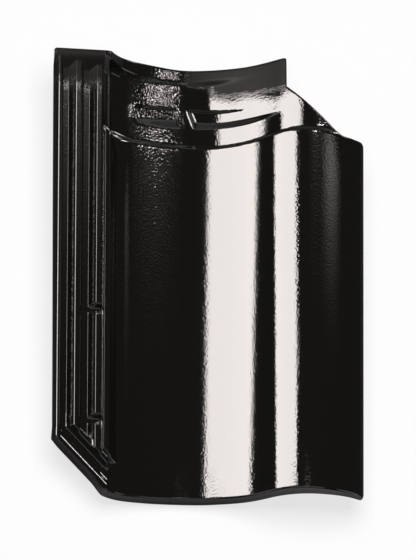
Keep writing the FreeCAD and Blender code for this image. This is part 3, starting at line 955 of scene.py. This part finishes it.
class PANTILE_OT_nibs(Operator):
    """Build the hanging nibs under the head as copies of one tapered block"""
    bl_idname = "pantile.nibs"
    bl_label = "Hanging nibs"

    def execute(self, context):
        shape = TileShape(context.scene)
        u, b = shape.u, shape.b
        values = {
            "Width": u.nib_wide / MM, "Thickness": u.nib_thick / MM, "Height": NIB_HEIGHT / MM,
            "Flare": u.nib_flare, "Spacing": u.nib_apart / MM, "Count": u.nib_count,
            "Material": material("thin_glaze"),
        }
        mesh, points = grown("hanging_nibs", self.tapered_nib(values))
        points[:, 0] += shape.trough_x - u.nib_first
        points[:, 1] += b.long - u.nib_back
        # Stretch each nib's height until its top is inside the tile's wall
        along = points[:, 1] / math.cos(shape.lean)
        roof = shape.under(points[:, 0], along) + NIB_SUNK - shape.nose_z
        roof = along * math.sin(shape.lean) + roof * math.cos(shape.lean)
        points[:, 2] = points[:, 2] / NIB_HEIGHT * roof
        points[:, 0] -= b.wide / 2
        points[:, 1] -= shape.middle_y
        add_grown("hanging_nibs", mesh, points / MM)
        return {"FINISHED"}

    @staticmethod
    def tapered_nib(values):
        tree, start = new_tree("Tapered nib", values)
        size = xyz(tree, X=start["Width"], Y=start["Thickness"], Z=start["Height"])
        block = node(tree, "GeometryNodeMeshCube", {
            "Size": size, "Vertices X": 13, "Vertices Y": 9, "Vertices Z": 12})
        half_wide, half_deep, half_high = (maths(tree, "MULTIPLY", start[name], 0.5)
                                           for name in ("Width", "Thickness", "Height"))
        lift = node(tree, "GeometryNodeTransform", {
            "Geometry": block.outputs[0], "Translation": xyz(tree, Y=half_deep, Z=half_high)})
        # Spread the sides and the back with height, and leave the hook face upright
        where = node(tree, "GeometryNodeInputPosition").outputs[0]
        x, y, z = node(tree, "ShaderNodeSeparateXYZ", {0: where}).outputs
        grow = maths(tree, "MULTIPLY", z, start["Flare"])
        side = maths(tree, "DIVIDE", x, half_wide)
        depth = maths(tree, "DIVIDE", y, start["Thickness"])
        move = xyz(tree, X=maths(tree, "MULTIPLY", side, grow), Y=maths(tree, "MULTIPLY", depth, grow))
        taper = node(tree, "GeometryNodeSetPosition", {"Geometry": lift.outputs[0], "Offset": move})
        row_of(tree, start, taper.outputs[0], xyz(tree, X=start["Spacing"]))
        return tree


# ---------------------------------------------------------------- studio

WARM = (1.0, 0.945, 0.91)
WHITE = (1.0, 1.0, 1.0)
# Share of the floor that glows for the camera, and span of Y where the mirrored floor turns dark
FLOOR_GLOW = 0.75
FLOOR_DARK = (-0.24, -0.19)
FLOOR_HALF = 8.0
# Softboxes: name, Y, two edge points in XZ, run along Y, radiance, colour, further settings
LIGHTS = (
    ("left_softbox", 0.45, (-0.313, 1.066), (-0.897, 0.604), 0.56, 20.0, WARM, {"pitch": 20.0}),
    ("overhead", 0.1, (-0.8, 2.2), (0.8, 2.2), 1.6, 7.0, WHITE, {"glossy": False}),
    ("back_strip", 0.76, (0.265, 0.985), (0.36, 0.95), 0.12, 52.0, WARM, {}),
    ("low_glint", 2.68, (1.72, 0.98), (2.44, 0.46), 0.9, 20.0, WARM, {}),
    ("top_strip", 0.16, (-0.02, 1.1), (0.15, 1.08), 0.06, 4.5, WARM, {}),
    ("left_panel", -0.35, (-2.5, 0.15), (-2.5, 2.2), 1.5, 1.5, WHITE, {}),
    ("right_panel", -0.35, (2.5, 2.2), (2.5, 0.15), 1.5, 1.5, WHITE, {}),
    ("back_panel", 2.9, (-1.6, 0.5), (1.6, 0.5), 0.75, 0.4, WHITE, {"pitch": 90.0}),
    ("front_panel", -2.8, (1.5, 1.55), (-1.5, 1.55), 2.8, 0.5, WHITE, {"pitch": 90.0}),
    ("high_panel", -0.95, (-1.3, 2.4), (1.3, 2.4), 1.9, 0.9, WHITE, {}),
    ("back_fade", 0.53, (0.15, 1.03), (0.48, 0.90), 0.32, 1.6, WARM, {"fade": 3.0}),
    ("side_light", 0.17, (0.216, 0.389), (0.424, 0.271), 0.20, 0.25, WARM,
     {"pitch": 28.0, "fade": 3.0, "beam": 44.0}),
)


def fade_light(light, power):
    """Soft sides across the light and a fade along it, brightest at its far end."""
    light.use_nodes = True
    tree = light.node_tree
    place = node(tree, "ShaderNodeNewGeometry").outputs["Parametric"]
    x, y, _ = node(tree, "ShaderNodeSeparateXYZ", {0: place}).outputs
    sides = maths(tree, "MULTIPLY", x, maths(tree, "SUBTRACT", 1.0, x))
    sides = maths(tree, "MULTIPLY", sides, 4.0)
    strength = maths(tree, "MULTIPLY", sides, maths(tree, "POWER", y, power))
    tree.links.new(strength, tree.nodes["Emission"].inputs["Strength"])


def soft_light(name, y, edge_a, edge_b, run, radiance, tint, glossy=True, pitch=0.0, fade=None, beam=180.0):
    """Rectangular softbox between two edge points, long along Y; seen in reflections or lighting only."""
    a, b = (Vector((x, y, z)) for x, z in (edge_a, edge_b))
    across = b - a
    pitch = math.radians(pitch)
    y_axis = Vector((0, math.cos(pitch), -math.sin(pitch)))
    x_axis = across.normalized()
    x_axis = (x_axis - y_axis * x_axis.dot(y_axis)).normalized()
    z_axis = x_axis.cross(y_axis)
    if z_axis.z < -1e-6:
        z_axis, x_axis = -z_axis, -x_axis
    light = bpy.data.lights.new(name, "AREA")
    light.shape = "RECTANGLE"
    light.size = across.length
    light.size_y = run
    light.energy = radiance * math.pi * across.length * run
    light.color = tint
    light.spread = math.radians(beam)
    if fade:
        fade_light(light, fade)
    obj = bpy.data.objects.new(name, light)
    turn = Matrix((x_axis, y_axis, z_axis)).transposed().to_4x4()
    obj.matrix_world = Matrix.Translation((a + b) / 2) @ turn
    obj.visible_camera = False
    obj.visible_glossy = glossy
    obj.visible_diffuse = not glossy
    bpy.context.scene.collection.objects.link(obj)


class PANTILE_OT_stage(Operator):
    """Build the floor, the studio lights, the room and the camera"""
    bl_idname = "pantile.stage"
    bl_label = "Stage"

    def execute(self, context):
        scene = context.scene
        look = scene.pantile_studio
        self.floor(look)
        for *values, more in LIGHTS:
            soft_light(*values, **more)
        self.room(scene, look)
        self.camera(scene, look)
        scene.view_settings.view_transform = "Standard"
        return {"FINISHED"}

    @staticmethod
    def floor(look):
        """Floor that the camera sees almost white and the glaze mirrors dark beside the tile."""
        mat, tree = new_material("studio_floor")
        path = node(tree, "ShaderNodeLightPath").outputs
        place = node(tree, "ShaderNodeTexCoord").outputs["Object"]
        y = node(tree, "ShaderNodeSeparateXYZ", {0: place}).outputs["Y"]
        beside = mapped(tree, y, FLOOR_DARK, (0.0, 1.0))
        mirror = maths(tree, "MULTIPLY", path["Is Glossy Ray"], beside)
        matt = node(tree, "ShaderNodeBsdfDiffuse", {"Color": mixed(tree, mirror, look.floor, look.mirrored)})
        glow = node(tree, "ShaderNodeEmission", {"Color": (*WHITE, 1), "Strength": 1.0})
        share = maths(tree, "MULTIPLY", path["Is Camera Ray"], FLOOR_GLOW)
        mix = node(tree, "ShaderNodeMixShader", {0: share, 1: matt.outputs[0], 2: glow.outputs[0]})
        node(tree, "ShaderNodeOutputMaterial", {"Surface": mix.outputs[0]})
        points = FLOOR_HALF * np.array([[-1, -1, 0], [1, -1, 0], [1, 1, 0], [-1, 1, 0]])
        obj = bpy.data.objects.new("studio_floor", plain_mesh("studio_floor", points, [[0, 1, 2, 3]], [mat]))
        bpy.context.scene.collection.objects.link(obj)

    @staticmethod
    def room(scene, look):
        """Room that is white for the camera and dim for the glaze."""
        world = bpy.data.worlds.new("studio_room")
        world.use_nodes = True
        tree = world.node_tree
        back = tree.nodes["Background"]
        back.inputs["Color"].default_value = (*WHITE, 1)
        path = node(tree, "ShaderNodeLightPath").outputs
        tree.links.new(maths(tree, "MAXIMUM", path["Is Camera Ray"], look.room), back.inputs["Strength"])
        scene.world = world

    @staticmethod
    def camera(scene, look):
        """Camera fitted to the photo: aimed from its azimuth and elevation, then rolled."""
        az, el, roll = look.azimuth, look.elevation, look.roll
        back = Vector((math.cos(el) * math.sin(az), -math.cos(el) * math.cos(az), math.sin(el)))
        level = Vector((0, 0, 1)) - back * back.z
        level.normalize()
        side = level.cross(back)
        up = level * math.cos(roll) + side * math.sin(roll)
        right = up.cross(back)
        data = bpy.data.cameras.new("photo_camera")
        data.sensor_width = 36.0
        data.lens = look.lens
        data.clip_end = 100.0
        obj = bpy.data.objects.new("photo_camera", data)
        turn = Matrix((right, up, back)).transposed().to_4x4()
        obj.matrix_world = Matrix.Translation(Vector(look.aim) + back * look.distance) @ turn
        scene.collection.objects.link(obj)
        scene.camera = obj


class PANTILE_PT_panel(Panel):
    """Lists the pieces of the tile and their sizes"""
    bl_idname = "PANTILE_PT_panel"
    bl_label = "Pantile"
    bl_space_type = "VIEW_3D"
    bl_region_type = "UI"
    bl_category = "Pantile"

    def draw(self, context):
        for cls in OPERATORS:
            self.layout.operator(cls.bl_idname)
        for key, cls in GROUPS.items():
            box = self.layout.box()
            box.label(text=key.split("_")[1].title())
            for name in cls.__annotations__:
                box.prop(getattr(context.scene, key), name)


OPERATORS = (PANTILE_OT_body, PANTILE_OT_cover_ribs, PANTILE_OT_nibs, PANTILE_OT_stage)
CLASSES = tuple(GROUPS.values()) + OPERATORS + (PANTILE_PT_panel,)


def register():
    for cls in CLASSES:
        bpy.utils.register_class(cls)
    for key, cls in GROUPS.items():
        setattr(bpy.types.Scene, key, PointerProperty(type=cls))


def unregister():
    for key in GROUPS:
        delattr(bpy.types.Scene, key)
    for cls in reversed(CLASSES):
        bpy.utils.unregister_class(cls)


def main():
    register()
    bpy.ops.pantile.body()
    bpy.ops.pantile.cover_ribs()
    bpy.ops.pantile.nibs()
    bpy.ops.pantile.stage()


if __name__ == "__main__":
    main()
